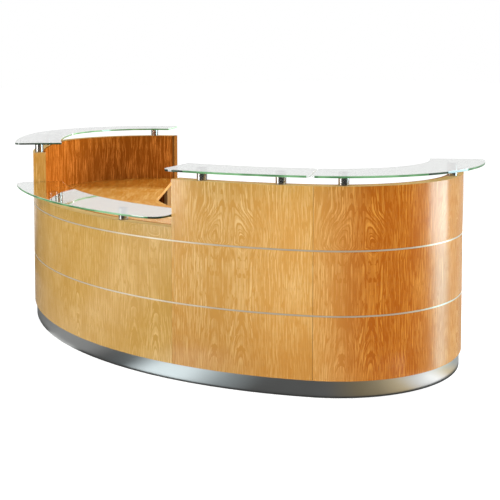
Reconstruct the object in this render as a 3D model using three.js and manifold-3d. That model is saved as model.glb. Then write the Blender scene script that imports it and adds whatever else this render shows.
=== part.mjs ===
// Curved reception desk: five wall units in a C, glass shelves on stand-offs, worktops inside the curve.
// Millimetres, +Z up, the public side faces -Y. Angles are in degrees from straight ahead, positive to +X.
import * as THREE from "three";
import Module from "manifold-3d";
import { mergeVertices } from "three/addons/utils/BufferGeometryUtils.js";

// Plan of the wall, on its outer face
const FRONT_RADIUS = 2240;
const END_RADIUS = 740;
const LOW_SPAN = 44.5;
const SIDE_SPAN = 20;
const END_SPAN = 97.5;
const FRONT_FACET = 2.8;
const END_FACET = 6.1;

// Wall build-up
const WALL = 80;
const FASCIA = 15;
const LINING = 12;
const CAP = 18;
const LIPPING = 18;
const RAIL = 40;
const STUD = 40;
const STUD_PITCH = 400;
const STUD_INSET = 2;
const HIGH_TOP = 1075;
const LOW_TOP = 820;
const LINING_LIFT = 6;

// Plinth and inlaid trims
const PLINTH_HEIGHT = 90;
const PLINTH_SHEET = 18;
const PLINTH_RECESS = 12;
const TRIM_HEIGHT = 8;
const TRIM_DEPTH = 6;
const LOWER_TRIM_MIDDLE = 420;
const UPPER_TRIM_MIDDLE = 750;

// Glass shelves and their stand-offs
const GLASS = 12;
const GLASS_OUTER_OVERHANG = 115;
const GLASS_INNER_OVERHANG = 105;
const GLASS_STEP_OUTER_SETBACK = 20;
const GLASS_STEP_INNER_OVERHANG = 20;
const GLASS_END_SETBACK = 20;
const GLASS_GAP = 8;
const GLASS_INNER_CORNER = 12;
const GLASS_SEAM_CORNER = 28;
const GLASS_FREE_CORNER = 50;
const LOW_GLASS_CORNER = 95;
const STANDOFF_DIAMETER = 55;
const STANDOFF_HEIGHT = 55;
const STANDOFF_CHAMFER = 2;
const STANDOFF_STUD_DIAMETER = 10;
const STANDOFF_STUD_DEPTH = 14;
const SIDE_STANDOFF_FROM_STEP = { right: 165, left: 70 };
const SIDE_STANDOFF_FROM_SEAM = 173;
const END_STANDOFF_FROM_SEAM = { right: 155, left: 107 };
const END_STANDOFF_FROM_END = { right: 285, left: 180 };
const LOW_STANDOFF_FROM_JOINT = { right: 385, left: 515 };

// Worktops, their battens and gables
const WORKTOP = 25;
const WORKTOP_TOP = 740;
const WORKTOP_DEPTH = 734;
const BATTEN = 25;
const BATTEN_STOP = 60;
const GABLE = 25;
const GABLE_SETBACK = 60;
const CHORD_GABLE_LENGTH = 375;
const CHORD_GABLE_SETBACK = 12;
const CHORD_GABLE_CLEARANCE = 16;

// Levelling feet
const FOOT_PAD_DIAMETER = 32;
const FOOT_PAD_HEIGHT = 10;
const FOOT_PAD_BEVEL = 4;
const FOOT_STUD_DIAMETER = 10;
const FOOT_ENGAGEMENT = 30;
const FOOT_FROM_UNIT_END = 200;

// Clearances
const FIT = 0.3;
const UNIT_GAP = 0.6;
const WORKTOP_CLEARANCE = 2;
const HOLE_CLEARANCE = 0.6;
const CUT_MARGIN = 5;
const ROUND_SIDES = 16;
const CORNER_STEPS = 4;

const oak = new THREE.MeshStandardMaterial({ color: 0xc98f45, roughness: 0.45, metalness: 0 });
const timber = new THREE.MeshStandardMaterial({ color: 0xb79a6c, roughness: 0.8, metalness: 0 });
const steel = new THREE.MeshStandardMaterial({ color: 0xb9bcc0, roughness: 0.3, metalness: 1 });
const aluminium = new THREE.MeshStandardMaterial({ color: 0xc8cacb, roughness: 0.35, metalness: 1 });
const clearGlass = new THREE.MeshStandardMaterial({
  color: 0xcfe6d8, roughness: 0.05, metalness: 0, transparent: true, opacity: 0.35,
});
const zinc = new THREE.MeshStandardMaterial({ color: 0x8d9093, roughness: 0.4, metalness: 1 });

const manifold = await Module();
manifold.setup();

const desk = new THREE.Group();
const SIDES = { right: 1, left: -1 };

// Heights worked out from the sizes above
const worktopUnderside = WORKTOP_TOP - WORKTOP;
const trimMiddles = { lower: LOWER_TRIM_MIDDLE, upper: UPPER_TRIM_MIDDLE };

// Insets from the wall's outer face
const coreOuter = FASCIA + FIT;
const coreInner = WALL - LINING - FIT;
const coreMiddle = (coreOuter + coreInner) / 2;
const plinthInner = PLINTH_RECESS + PLINTH_SHEET;
const footInset = (plinthInner + WALL - LINING) / 2;
const worktopOuter = WALL + WORKTOP_CLEARANCE;
const worktopInner = worktopOuter + WORKTOP_DEPTH;

// Plan arcs
const stepAngle = LOW_SPAN / 2;
const seamAngle = stepAngle + SIDE_SPAN;
const endAngle = seamAngle + END_SPAN;

function toward(angle) {
  const turn = THREE.MathUtils.degToRad(angle);
  return new THREE.Vector2(Math.sin(turn), -Math.cos(turn));
}

function pointOn(arc, angle, inset) {
  return toward(angle).multiplyScalar(arc.radius - inset).add(arc.centre);
}

function turnFor(arc, distance) {
  const turn = THREE.MathUtils.radToDeg(distance / arc.radius);
  return turn * Math.sign(arc.to - arc.from);
}

// Angles at distances along the outer face from an arc's two ends
function fromStart(arc, distance) {
  return arc.from + turnFor(arc, distance);
}

function fromEnd(arc, distance) {
  return arc.to - turnFor(arc, distance);
}

// The arc with its two ends moved inward by such distances
function shorten(arc, atStart, atEnd) {
  return { ...arc, from: fromStart(arc, atStart), to: fromEnd(arc, atEnd) };
}

function frontArc(from, to) {
  return { centre: new THREE.Vector2(), radius: FRONT_RADIUS, facet: FRONT_FACET, from, to };
}

function sideArc(side) {
  return frontArc(side * stepAngle, side * seamAngle);
}

function endArc(side) {
  const centre = toward(side * seamAngle).multiplyScalar(FRONT_RADIUS - END_RADIUS);
  return { centre, radius: END_RADIUS, facet: END_FACET, from: side * seamAngle, to: side * endAngle };
}

function arcPoints(arc, inset) {
  const steps = Math.ceil(Math.abs(arc.to - arc.from) / arc.facet);
  const points = [];
  for (let i = 0; i <= steps; i += 1) {
    points.push(pointOn(arc, THREE.MathUtils.lerp(arc.from, arc.to, i / steps), inset));
  }
  return points;
}

// Points along joined arcs, with the shared point of two arcs kept once
function runPoints(arcs, inset) {
  return arcs.flatMap((arc, i) => arcPoints(arc, inset).slice(i === 0 ? 0 : 1));
}

// Solids from plan outlines
function extrude(shape, bottom, top) {
  const settings = { depth: top - bottom, bevelEnabled: false, curveSegments: CORNER_STEPS };
  return new THREE.ExtrudeGeometry(shape, settings).translate(0, 0, bottom);
}

function band(arcs, outerInset, innerInset, bottom, top) {
  const outline = [...runPoints(arcs, outerInset), ...runPoints(arcs, innerInset).reverse()];
  return extrude(new THREE.Shape(outline), bottom, top);
}

function post(arc, angle, inset, radius, bottom, top) {
  const place = pointOn(arc, angle, inset);
  const round = new THREE.CylinderGeometry(radius, radius, top - bottom, ROUND_SIDES);
  return round.rotateX(Math.PI / 2).translate(place.x, place.y, (top + bottom) / 2);
}

// Boolean joins and cuts
function toSolid(geometry) {
  const bare = geometry.clone();
  bare.deleteAttribute("normal");
  bare.deleteAttribute("uv");
  const merged = mergeVertices(bare);
  return new manifold.Manifold(new manifold.Mesh({
    numProp: 3,
    vertProperties: merged.attributes.position.array,
    triVerts: Uint32Array.from(merged.index.array),
  }));
}

function toGeometry(solid) {
  const mesh = solid.getMesh();
  const geometry = new THREE.BufferGeometry();
  geometry.setAttribute("position", new THREE.BufferAttribute(mesh.vertProperties, mesh.numProp));
  geometry.setIndex(new THREE.BufferAttribute(mesh.triVerts, 1));
  geometry.computeVertexNormals();
  return geometry;
}

function join(geometries) {
  return toGeometry(geometries.map(toSolid).reduce((whole, piece) => whole.add(piece)));
}

function cut(geometry, cutters) {
  const whole = toSolid(geometry);
  return toGeometry(cutters.map(toSolid).reduce((rest, cutter) => rest.subtract(cutter), whole));
}

function add(name, geometry, material) {
  const mesh = new THREE.Mesh(geometry, material);
  mesh.name = name;
  desk.add(mesh);
  return mesh;
}

// Trims and plinths run along whole wings, so a run is a list of arcs
function trimGrooves(run) {
  const first = run[0];
  const last = run[run.length - 1];
  const before = { ...first, from: fromStart(first, -CUT_MARGIN), to: first.from };
  const after = { ...last, from: last.to, to: fromEnd(last, -CUT_MARGIN) };
  const path = [before, ...run, after];
  return Object.values(trimMiddles).map((middle) =>
    band(path, -CUT_MARGIN, TRIM_DEPTH + FIT, middle - TRIM_HEIGHT / 2, middle + TRIM_HEIGHT / 2));
}

function addTrims(name, run) {
  for (const [level, middle] of Object.entries(trimMiddles)) {
    const strip = band(run, 0, TRIM_DEPTH, middle - TRIM_HEIGHT / 2, middle + TRIM_HEIGHT / 2);
    add(`${name}_${level}_trim`, strip, aluminium);
  }
}

function addPlinth(name, run, endReturn) {
  const kick = band(run, PLINTH_RECESS, plinthInner, 0, PLINTH_HEIGHT);
  add(`${name}_plinth`, endReturn ? join([kick, endReturn]) : kick, steel);
}

// The plinth turns across the wall's free end, set back as far as it is in front
function plinthReturn(arc) {
  const sheet = shorten(arc, 0, PLINTH_RECESS);
  const corner = { ...sheet, from: fromEnd(sheet, PLINTH_SHEET) };
  return band([corner], PLINTH_RECESS, WALL - LINING - FIT, 0, PLINTH_HEIGHT);
}

// Wall units: fascia and lining on a stud frame, closed on top and at free ends by oak cappings
function studFrame(arc, top, footAngles) {
  const railTop = top - CAP;
  const lowerRail = band([arc], coreOuter, coreInner, PLINTH_HEIGHT, PLINTH_HEIGHT + RAIL);
  const upperRail = band([arc], coreOuter, coreInner, railTop - RAIL, railTop);
  const length = THREE.MathUtils.degToRad(Math.abs(arc.to - arc.from)) * arc.radius;
  const bays = Math.ceil((length - STUD) / STUD_PITCH);
  const studs = [];
  for (let i = 0; i <= bays; i += 1) {
    const start = ((length - STUD) * i) / bays;
    const foot = shorten(arc, start, length - start - STUD);
    const low = PLINTH_HEIGHT + RAIL / 2;
    studs.push(band([foot], coreOuter + STUD_INSET, coreInner - STUD_INSET, low, railTop - RAIL / 2));
  }
  const holeRadius = FOOT_STUD_DIAMETER / 2 + HOLE_CLEARANCE;
  const holeTop = PLINTH_HEIGHT + RAIL + CUT_MARGIN;
  const holes = footAngles.map((angle) =>
    post(arc, angle, footInset, holeRadius, PLINTH_HEIGHT - CUT_MARGIN, holeTop));
  return cut(join([lowerRail, upperRail, ...studs]), holes);
}

function linedInner(arc, top) {
  const panel = band([arc], WALL - LINING, WALL, LINING_LIFT, top);
  const rest = shorten(arc, BATTEN_STOP, BATTEN_STOP);
  const battenBottom = worktopUnderside - BATTEN;
  const batten = band([rest], WALL - LINING / 2, WALL + BATTEN, battenBottom, worktopUnderside);
  return join([panel, batten]);
}

// The lipping closes the wall's free end, and the strip on top is tongued half-way into it
function cappingPieces({ arc, top, free }, panelArc) {
  const tongue = LIPPING / 2 + FIT;
  const run = [panelArc];
  const pieces = [];
  if (free === "start") {
    run.unshift({ ...panelArc, from: fromStart(panelArc, -tongue), to: panelArc.from });
    pieces.push(band([{ ...arc, to: fromStart(arc, LIPPING) }], 0, WALL, PLINTH_HEIGHT, top));
  }
  if (free === "end") {
    run.push({ ...panelArc, from: panelArc.to, to: fromEnd(panelArc, -tongue) });
    pieces.push(band([{ ...arc, from: fromEnd(arc, LIPPING) }], 0, WALL, PLINTH_HEIGHT, top));
  }
  return [band(run, coreOuter, coreInner, top - CAP, top), ...pieces];
}

function capping(unit, panelArc) {
  const { top, standoffAngles } = unit;
  const holeRadius = STANDOFF_STUD_DIAMETER / 2 + HOLE_CLEARANCE;
  const holeBottom = top - STANDOFF_STUD_DEPTH - HOLE_CLEARANCE;
  const holes = standoffAngles.map((angle) =>
    post(panelArc, angle, coreMiddle, holeRadius, holeBottom, top + CUT_MARGIN));
  return cut(join(cappingPieces(unit, panelArc)), [...holes, ...trimGrooves(unit.run)]);
}

function standoff() {
  const radius = STANDOFF_DIAMETER / 2;
  const studRadius = STANDOFF_STUD_DIAMETER / 2;
  const profile = [
    [0, -STANDOFF_STUD_DEPTH],
    [studRadius, -STANDOFF_STUD_DEPTH],
    [studRadius, 0],
    [radius - STANDOFF_CHAMFER, 0],
    [radius, STANDOFF_CHAMFER],
    [radius, STANDOFF_HEIGHT - STANDOFF_CHAMFER],
    [radius - STANDOFF_CHAMFER, STANDOFF_HEIGHT],
    [0, STANDOFF_HEIGHT],
  ];
  return turned(profile);
}

function levellingFoot() {
  const pad = FOOT_PAD_DIAMETER / 2;
  const stud = FOOT_STUD_DIAMETER / 2;
  const profile = [
    [0, 0],
    [pad, 0],
    [pad, FOOT_PAD_HEIGHT - FOOT_PAD_BEVEL],
    [pad - FOOT_PAD_BEVEL, FOOT_PAD_HEIGHT],
    [stud, FOOT_PAD_HEIGHT],
    [stud, PLINTH_HEIGHT + FOOT_ENGAGEMENT],
    [0, PLINTH_HEIGHT + FOOT_ENGAGEMENT],
  ];
  return turned(profile);
}

function turned(profile) {
  const points = profile.map(([radius, height]) => new THREE.Vector2(radius, height));
  return new THREE.LatheGeometry(points, ROUND_SIDES).rotateX(Math.PI / 2);
}

// A shelf follows the wall with rounded corners; its edges stop at their own angles, so an end may slant
function glassShelf({ outerArc, innerArc, startCorner, endCorner }, bottom) {
  const outer = -GLASS_OUTER_OVERHANG;
  const inner = WALL + GLASS_INNER_OVERHANG;
  const outerStart = pointOn(outerArc, outerArc.from, outer);
  const outerEnd = pointOn(outerArc, outerArc.to, outer);
  const innerStart = pointOn(innerArc, innerArc.from, inner);
  const innerEnd = pointOn(innerArc, innerArc.to, inner);
  const outerEdge = arcPoints(shorten(outerArc, startCorner, endCorner), outer);
  const innerEdge = arcPoints(shorten(innerArc, GLASS_INNER_CORNER, GLASS_INNER_CORNER), inner).reverse();
  const shape = new THREE.Shape(outerEdge);
  roundCorner(shape, outerEnd, partWay(outerEnd, innerEnd, endCorner));
  lineTo(shape, partWay(innerEnd, outerEnd, GLASS_INNER_CORNER));
  roundCorner(shape, innerEnd, innerEdge[0]);
  innerEdge.slice(1).forEach((point) => lineTo(shape, point));
  roundCorner(shape, innerStart, partWay(innerStart, outerStart, GLASS_INNER_CORNER));
  lineTo(shape, partWay(outerStart, innerStart, startCorner));
  roundCorner(shape, outerStart, outerEdge[0]);
  return extrude(shape, bottom, bottom + GLASS);
}

function partWay(from, to, distance) {
  return to.clone().sub(from).setLength(distance).add(from);
}

function lineTo(shape, point) {
  shape.lineTo(point.x, point.y);
}

function roundCorner(shape, corner, after) {
  shape.quadraticCurveTo(corner.x, corner.y, after.x, after.y);
}

function addUnit(unit) {
  const { name, arc, top, free, run } = unit;
  const panelStart = free === "start" ? LIPPING + FIT : 0;
  const panelEnd = free === "end" ? LIPPING + FIT : 0;
  const panelArc = shorten(arc, panelStart, panelEnd);
  const fascia = band([panelArc], 0, FASCIA, PLINTH_HEIGHT, top);
  add(`${name}_fascia`, cut(fascia, trimGrooves(run)), oak);
  add(`${name}_lining`, linedInner(panelArc, top), oak);
  add(`${name}_frame`, studFrame(panelArc, top, unit.footAngles), timber);
  add(`${name}_capping`, capping(unit, panelArc), oak);
  add(`${name}_glass`, glassShelf(unit.glass, top + STANDOFF_HEIGHT), clearGlass);
  unit.standoffAngles.forEach((angle, i) => {
    const place = pointOn(arc, angle, coreMiddle);
    const label = unit.standoffAngles.length > 1 ? `_${i + 1}` : "";
    add(`${name}_standoff${label}`, standoff(), steel).position.set(place.x, place.y, top);
  });
  unit.footAngles.forEach((angle, i) => {
    const place = pointOn(arc, angle, footInset);
    const label = unit.footAngles.length > 1 ? `_${i + 1}` : "";
    add(`${name}_foot${label}`, levellingFoot(), zinc).position.set(place.x, place.y, 0);
  });
}

function lowUnit() {
  const arc = shorten(frontArc(-stepAngle, stepAngle), UNIT_GAP / 2, UNIT_GAP / 2);
  const glassArc = shorten(arc, GLASS_GAP, GLASS_GAP);
  return {
    name: "low",
    arc,
    run: [arc],
    top: LOW_TOP,
    glass: {
      outerArc: glassArc,
      innerArc: glassArc,
      startCorner: LOW_GLASS_CORNER,
      endCorner: LOW_GLASS_CORNER,
    },
    standoffAngles: [
      fromStart(arc, LOW_STANDOFF_FROM_JOINT.left),
      fromEnd(arc, LOW_STANDOFF_FROM_JOINT.right),
    ],
    footAngles: [fromStart(arc, FOOT_FROM_UNIT_END), fromEnd(arc, FOOT_FROM_UNIT_END)],
  };
}

function sideUnit(label, run) {
  const arc = shorten(sideArc(SIDES[label]), UNIT_GAP / 2, UNIT_GAP / 2);
  return {
    name: `${label}_side`,
    arc,
    run,
    top: HIGH_TOP,
    free: "start",
    glass: {
      outerArc: shorten(arc, GLASS_STEP_OUTER_SETBACK, GLASS_GAP / 2),
      innerArc: shorten(arc, -GLASS_STEP_INNER_OVERHANG, GLASS_GAP / 2),
      startCorner: GLASS_FREE_CORNER,
      endCorner: GLASS_SEAM_CORNER,
    },
    standoffAngles: [
      fromStart(arc, SIDE_STANDOFF_FROM_STEP[label]),
      fromEnd(arc, SIDE_STANDOFF_FROM_SEAM),
    ],
    footAngles: [fromStart(arc, FOOT_FROM_UNIT_END)],
  };
}

function endUnit(label, run) {
  const arc = shorten(endArc(SIDES[label]), UNIT_GAP / 2, 0);
  const glassArc = shorten(arc, GLASS_GAP / 2, GLASS_END_SETBACK);
  return {
    name: `${label}_end`,
    arc,
    run,
    top: HIGH_TOP,
    free: "end",
    glass: {
      outerArc: glassArc,
      innerArc: glassArc,
      startCorner: GLASS_SEAM_CORNER,
      endCorner: GLASS_FREE_CORNER,
    },
    standoffAngles: [
      fromStart(arc, END_STANDOFF_FROM_SEAM[label]),
      fromEnd(arc, END_STANDOFF_FROM_END[label]),
    ],
    footAngles: [fromStart(arc, FOOT_FROM_UNIT_END), fromEnd(arc, FOOT_FROM_UNIT_END)],
  };
}

// The middle worktop fills the low unit; a wing's worktop is closed by a straight chord
function lowWorktop(arc) {
  return band([arc], worktopOuter, worktopInner, worktopUnderside, WORKTOP_TOP);
}

function wingChord(run) {
  const [side, end] = run;
  return { start: pointOn(side, side.from, worktopInner), finish: pointOn(end, end.to, worktopOuter) };
}

function wingWorktop(run) {
  const { start, finish } = wingChord(run);
  const outline = [start, ...runPoints(run, worktopOuter)];
  outline[outline.length - 1] = finish;
  return extrude(new THREE.Shape(outline), worktopUnderside, WORKTOP_TOP);
}

// An upright panel under a worktop, between two points on its middle line in plan
function addGable(name, from, to) {
  const along = to.clone().sub(from);
  const panel = new THREE.BoxGeometry(along.length(), GABLE, worktopUnderside);
  const mesh = add(name, panel, oak);
  mesh.position.set((from.x + to.x) / 2, (from.y + to.y) / 2, worktopUnderside / 2);
  mesh.rotation.z = along.angle();
}

function addJointGable(label) {
  const arc = sideArc(SIDES[label]);
  const outer = pointOn(arc, arc.from, worktopOuter);
  const inner = pointOn(arc, arc.from, worktopInner - GABLE_SETBACK);
  addGable(`${label}_joint_gable`, inner, outer);
}

function addChordGable(label, run) {
  const { start, finish } = wingChord(run);
  const along = finish.clone().sub(start).normalize();
  const under = new THREE.Vector2(along.y, -along.x).multiplyScalar(SIDES[label]);
  const offset = under.multiplyScalar(CHORD_GABLE_SETBACK + GABLE / 2);
  const outer = finish.clone().addScaledVector(along, -CHORD_GABLE_CLEARANCE).add(offset);
  const inner = outer.clone().addScaledVector(along, -CHORD_GABLE_LENGTH);
  addGable(`${label}_chord_gable`, inner, outer);
}

function addWing(label) {
  const side = shorten(sideArc(SIDES[label]), UNIT_GAP / 2, 0);
  const end = endArc(SIDES[label]);
  const run = [side, end];
  addUnit(sideUnit(label, run));
  addUnit(endUnit(label, run));
  addTrims(label, run);
  addPlinth(label, [side, shorten(end, 0, PLINTH_RECESS)], plinthReturn(end));
  add(`${label}_worktop`, wingWorktop(run), oak);
  addJointGable(label);
  addChordGable(label, run);
}

const low = lowUnit();
addUnit(low);
addTrims("low", low.run);
addPlinth("low", low.run);
add("low_worktop", lowWorktop(low.arc), oak);
Object.keys(SIDES).forEach(addWing);

// The origin is on the floor, under the middle of the desk's outline
const middle = new THREE.Box3().setFromObject(desk).getCenter(new THREE.Vector3());
desk.position.set(-middle.x, -middle.y, 0);

export default desk;
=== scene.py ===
"""Curved reception desk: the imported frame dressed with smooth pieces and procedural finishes.

Metres, +Z up, the public side faces -Y. Angles are in degrees from straight ahead, positive to +X.
"""

import math
from collections import namedtuple

import bmesh
import bpy
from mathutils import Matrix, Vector


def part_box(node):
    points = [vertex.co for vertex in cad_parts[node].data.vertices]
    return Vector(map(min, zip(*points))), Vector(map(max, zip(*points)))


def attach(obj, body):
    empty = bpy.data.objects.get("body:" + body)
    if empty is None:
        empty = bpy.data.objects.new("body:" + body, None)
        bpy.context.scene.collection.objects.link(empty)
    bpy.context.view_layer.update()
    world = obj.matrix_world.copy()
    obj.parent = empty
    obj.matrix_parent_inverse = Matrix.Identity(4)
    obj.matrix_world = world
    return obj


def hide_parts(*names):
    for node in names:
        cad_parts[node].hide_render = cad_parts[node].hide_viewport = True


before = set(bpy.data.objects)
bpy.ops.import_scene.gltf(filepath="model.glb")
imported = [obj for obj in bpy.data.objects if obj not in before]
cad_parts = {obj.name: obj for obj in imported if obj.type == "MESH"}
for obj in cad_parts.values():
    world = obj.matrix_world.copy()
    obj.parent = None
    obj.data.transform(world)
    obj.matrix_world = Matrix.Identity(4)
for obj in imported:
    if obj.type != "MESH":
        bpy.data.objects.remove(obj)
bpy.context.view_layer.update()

# Plan of the wall on its outer face, as the frame has it
FRONT_RADIUS = 2.240
END_RADIUS = 0.740
LOW_SPAN = 44.5
SIDE_SPAN = 20.0
END_SPAN = 97.5

# Wall build-up
WALL = 0.080
FASCIA = 0.015
LINING = 0.012
CAP = 0.018
LIPPING = 0.018
LINING_LIFT = 0.006
PLINTH_SHEET = 0.018
PLINTH_RECESS = 0.012
TRIM_DEPTH = 0.006
TRIM_PROUD = 0.0006
TRIM_SHADOW_GAP = 0.0003
UNIT_GAP = 0.0006
FASCIA_REVEAL = 0.0005
FIT = 0.0003

# Glass shelves
GLASS_OUTER_OVERHANG = 0.115
GLASS_INNER_OVERHANG = 0.105
GLASS_STEP_OUTER_SETBACK = 0.020
GLASS_STEP_INNER_OVERHANG = 0.020
GLASS_END_SETBACK = 0.020
GLASS_GAP = 0.008
GLASS_INNER_CORNER = 0.012
GLASS_SEAM_CORNER = 0.028
GLASS_FREE_CORNER = 0.050
LOW_GLASS_CORNER = 0.095
GLASS_ARRIS = 0.0012

# Stretches of a shelf's cut edge with a painted look of their own, as (from, to) away from its end line:
# near-black at the free ends and on the drum end, pale at a seam
# Near the free ends the near-black edge paints the dark look along the glass
PAINTED_DARK_END = (0.0, 0.12)
PAINTED_DARK_LOW_END = (0.0, 0.072)
# At a seam the pale edge paints the light seen through the joint
PAINTED_PALE_SEAM = (0.0, 0.016)
# On the drum end the near-black stretch paints a dark reflection
PAINTED_DARK_DRUM = (0.50, 0.70)

# Worktops, battens and gables
WORKTOP_CLEARANCE = 0.002
WORKTOP_DEPTH = 0.734
BATTEN = 0.025
BATTEN_STOP = 0.060
GABLE = 0.025
GABLE_SETBACK = 0.060
CHORD_GABLE_LENGTH = 0.375
CHORD_GABLE_SETBACK = 0.012
CHORD_GABLE_CLEARANCE = 0.016

# Softened edges and fineness
OAK_EDGE = 0.0010
METAL_EDGE = 0.0006
PANEL_CORNER = 0.0015
WORKTOP_EDGE = 0.0020
RIM_SHARE = 0.3
ROUND_STEPS = 3
CORNER_STEPS = 10
ARC_PITCH = 0.018
LATHE_SIDES = 64
SHARP_EDGE = math.radians(40)

# Camera that the photograph was fitted to, with part of its shift turned into a slight pitch
CAMERA_FROM_FRONT_CENTRE = (5.3077, -4.8760, 1.7382)
CAMERA_AZIMUTH = 53.36
CAMERA_PITCH = 4.134
CAMERA_LENS = 72.75
CAMERA_SHIFT = -0.25

DESK = "desk"
GRAIN = "grain"
SIDES = {"right": 1, "left": -1}
STANDOFF_NUMBERS = (1, 2)

# Places of the further materials in a piece's list, after its main one
TOP_SLOT = 1
SIDE_SLOT = 1
LIPPING_SLOT, FACE_SLOT = 1, 2
EDGE_SLOT, END_SLOT, SEAM_SLOT = 1, 2, 3

# Heights from the frame
LOW_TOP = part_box("low_fascia")[1].z
HIGH_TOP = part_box("right_side_fascia")[1].z
PLINTH_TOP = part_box("low_plinth")[1].z
WORKTOP_BOTTOM, WORKTOP_TOP = (corner.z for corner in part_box("low_worktop"))
TRIM_LEVELS = [[corner.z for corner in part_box(f"low_{level}_trim")] for level in ("lower", "upper")]

# Angles and insets that follow
STEP_ANGLE = LOW_SPAN / 2
SEAM_ANGLE = STEP_ANGLE + SIDE_SPAN
END_ANGLE = SEAM_ANGLE + END_SPAN
CORE_OUTER = FASCIA + FIT
CORE_INNER = WALL - LINING - FIT
PLINTH_INNER = PLINTH_RECESS + PLINTH_SHEET
WORKTOP_OUTER = WALL + WORKTOP_CLEARANCE
WORKTOP_INNER = WORKTOP_OUTER + WORKTOP_DEPTH
FRONT_CENTRE = Vector((0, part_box("low_fascia")[0].y + FRONT_RADIUS))

Arc = namedtuple("Arc", "centre radius start stop")
Look = namedtuple("Look", "slot near far")
Glass = namedtuple("Glass", "outer inner start_corner stop_corner start_look stop_look")
Unit = namedtuple("Unit", "name arc panel free top glass")
Noise = namedtuple("Noise", "density seed detail", defaults=[2.0])


# Plan geometry
def toward(angle):
    turn = math.radians(angle)
    return Vector((math.sin(turn), -math.cos(turn)))


def point_on(arc, angle, inset):
    return arc.centre + toward(angle) * (arc.radius - inset)


def turn_for(arc, distance):
    return math.degrees(distance / arc.radius) * (1 if arc.stop > arc.start else -1)


def shorten(arc, at_start, at_stop):
    start = arc.start + turn_for(arc, at_start)
    stop = arc.stop - turn_for(arc, at_stop)
    return arc._replace(start=start, stop=stop)


def length_of(arc):
    return math.radians(abs(arc.stop - arc.start)) * arc.radius


def front_arc(start, stop):
    return Arc(FRONT_CENTRE, FRONT_RADIUS, start, stop)


def side_arc(side):
    return front_arc(side * STEP_ANGLE, side * SEAM_ANGLE)


def end_arc(side):
    centre = FRONT_CENTRE + toward(side * SEAM_ANGLE) * (FRONT_RADIUS - END_RADIUS)
    return Arc(centre, END_RADIUS, side * SEAM_ANGLE, side * END_ANGLE)


def arc_angles(arc):
    steps = max(1, math.ceil(length_of(arc) / ARC_PITCH))
    return [arc.start + (arc.stop - arc.start) * i / steps for i in range(steps + 1)]


def arc_points(arc, inset):
    return [point_on(arc, angle, inset) for angle in arc_angles(arc)]


def stations(run):
    """Places along joined arcs as (arc, angle, distance), with shared ends kept once."""
    places = []
    travelled = 0.0
    for arc in run:
        for angle in arc_angles(arc)[1 if places else 0:]:
            along = math.radians(abs(angle - arc.start)) * arc.radius
            places.append((arc, angle, travelled + along))
        travelled += length_of(arc)
    return places


def bent(arrive, corner, leave, steps):
    """Points of a quadratic curve that rounds a corner."""
    shares = [i / steps for i in range(steps + 1)]
    return [arrive * (1 - t) ** 2 + corner * (2 * t * (1 - t)) + leave * t ** 2 for t in shares]


def rounded(outline, radius, steps=ROUND_STEPS):
    """A closed outline with every corner rounded."""
    corners = [Vector(point) for point in outline]
    points = []
    for i, corner in enumerate(corners):
        before = corners[i - 1]
        after = corners[(i + 1) % len(corners)]
        arrive = corner + (before - corner).normalized() * radius
        leave = corner + (after - corner).normalized() * radius
        points += bent(arrive, corner, leave, steps)
    return points


def rectangle(outer, inner, bottom, top):
    return [(outer, bottom), (outer, top), (inner, top), (inner, bottom)]


def grooved(inner, top):
    """Outline of a panel whose outer face has a groove for each trim."""
    points = [(0, PLINTH_TOP)]
    for low, high in TRIM_LEVELS:
        groove = TRIM_DEPTH + FIT
        points += [(0, low), (groove, low), (groove, high), (0, high)]
    return points + [(0, top), (inner, top), (inner, PLINTH_TOP)]


# Mesh building
def new_mesh():
    bm = bmesh.new()
    bm.loops.layers.uv.new(GRAIN)
    return bm


def lay(bm, face, places):
    """Sets a face's unrolled places, in metres."""
    layer = bm.loops.layers.uv[GRAIN]
    for loop, place in zip(face.loops, places):
        loop[layer].uv = place


def sweep(bm, run, outline):
    """Carries a closed outline of (inset, height) points along joined arcs, with flat ends."""
    rings = []
    for arc, angle, distance in stations(run):
        ring = [bm.verts.new((*point_on(arc, angle, inset), height)) for inset, height in outline]
        rings.append((distance, ring))
    count = len(outline)
    unrolled = [height - inset for inset, height in outline]
    for (near, ring), (far, following) in zip(rings, rings[1:]):
        for i in range(count):
            j = (i + 1) % count
            face = bm.faces.new((ring[i], following[i], following[j], ring[j]))
            low, high = unrolled[i], unrolled[j]
            lay(bm, face, [(near, low), (far, low), (far, high), (near, high)])
    for distance, ring in (rings[0], rings[-1]):
        face = bm.faces.new(ring)
        lay(bm, face, [(distance + inset, height) for inset, height in outline])


def offset_inward(plan, distance):
    """A counter-clockwise outline moved inward."""
    moved = []
    for i, point in enumerate(plan):
        along = (plan[(i + 1) % len(plan)] - plan[i - 1]).normalized()
        moved.append(point + Vector((-along.y, along.x)) * distance)
    return moved


def counter_clockwise(plan):
    doubled = sum(a.x * b.y - b.x * a.y for a, b in zip(plan, plan[1:] + plan[:1]))
    return plan if doubled > 0 else plan[::-1]


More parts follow.
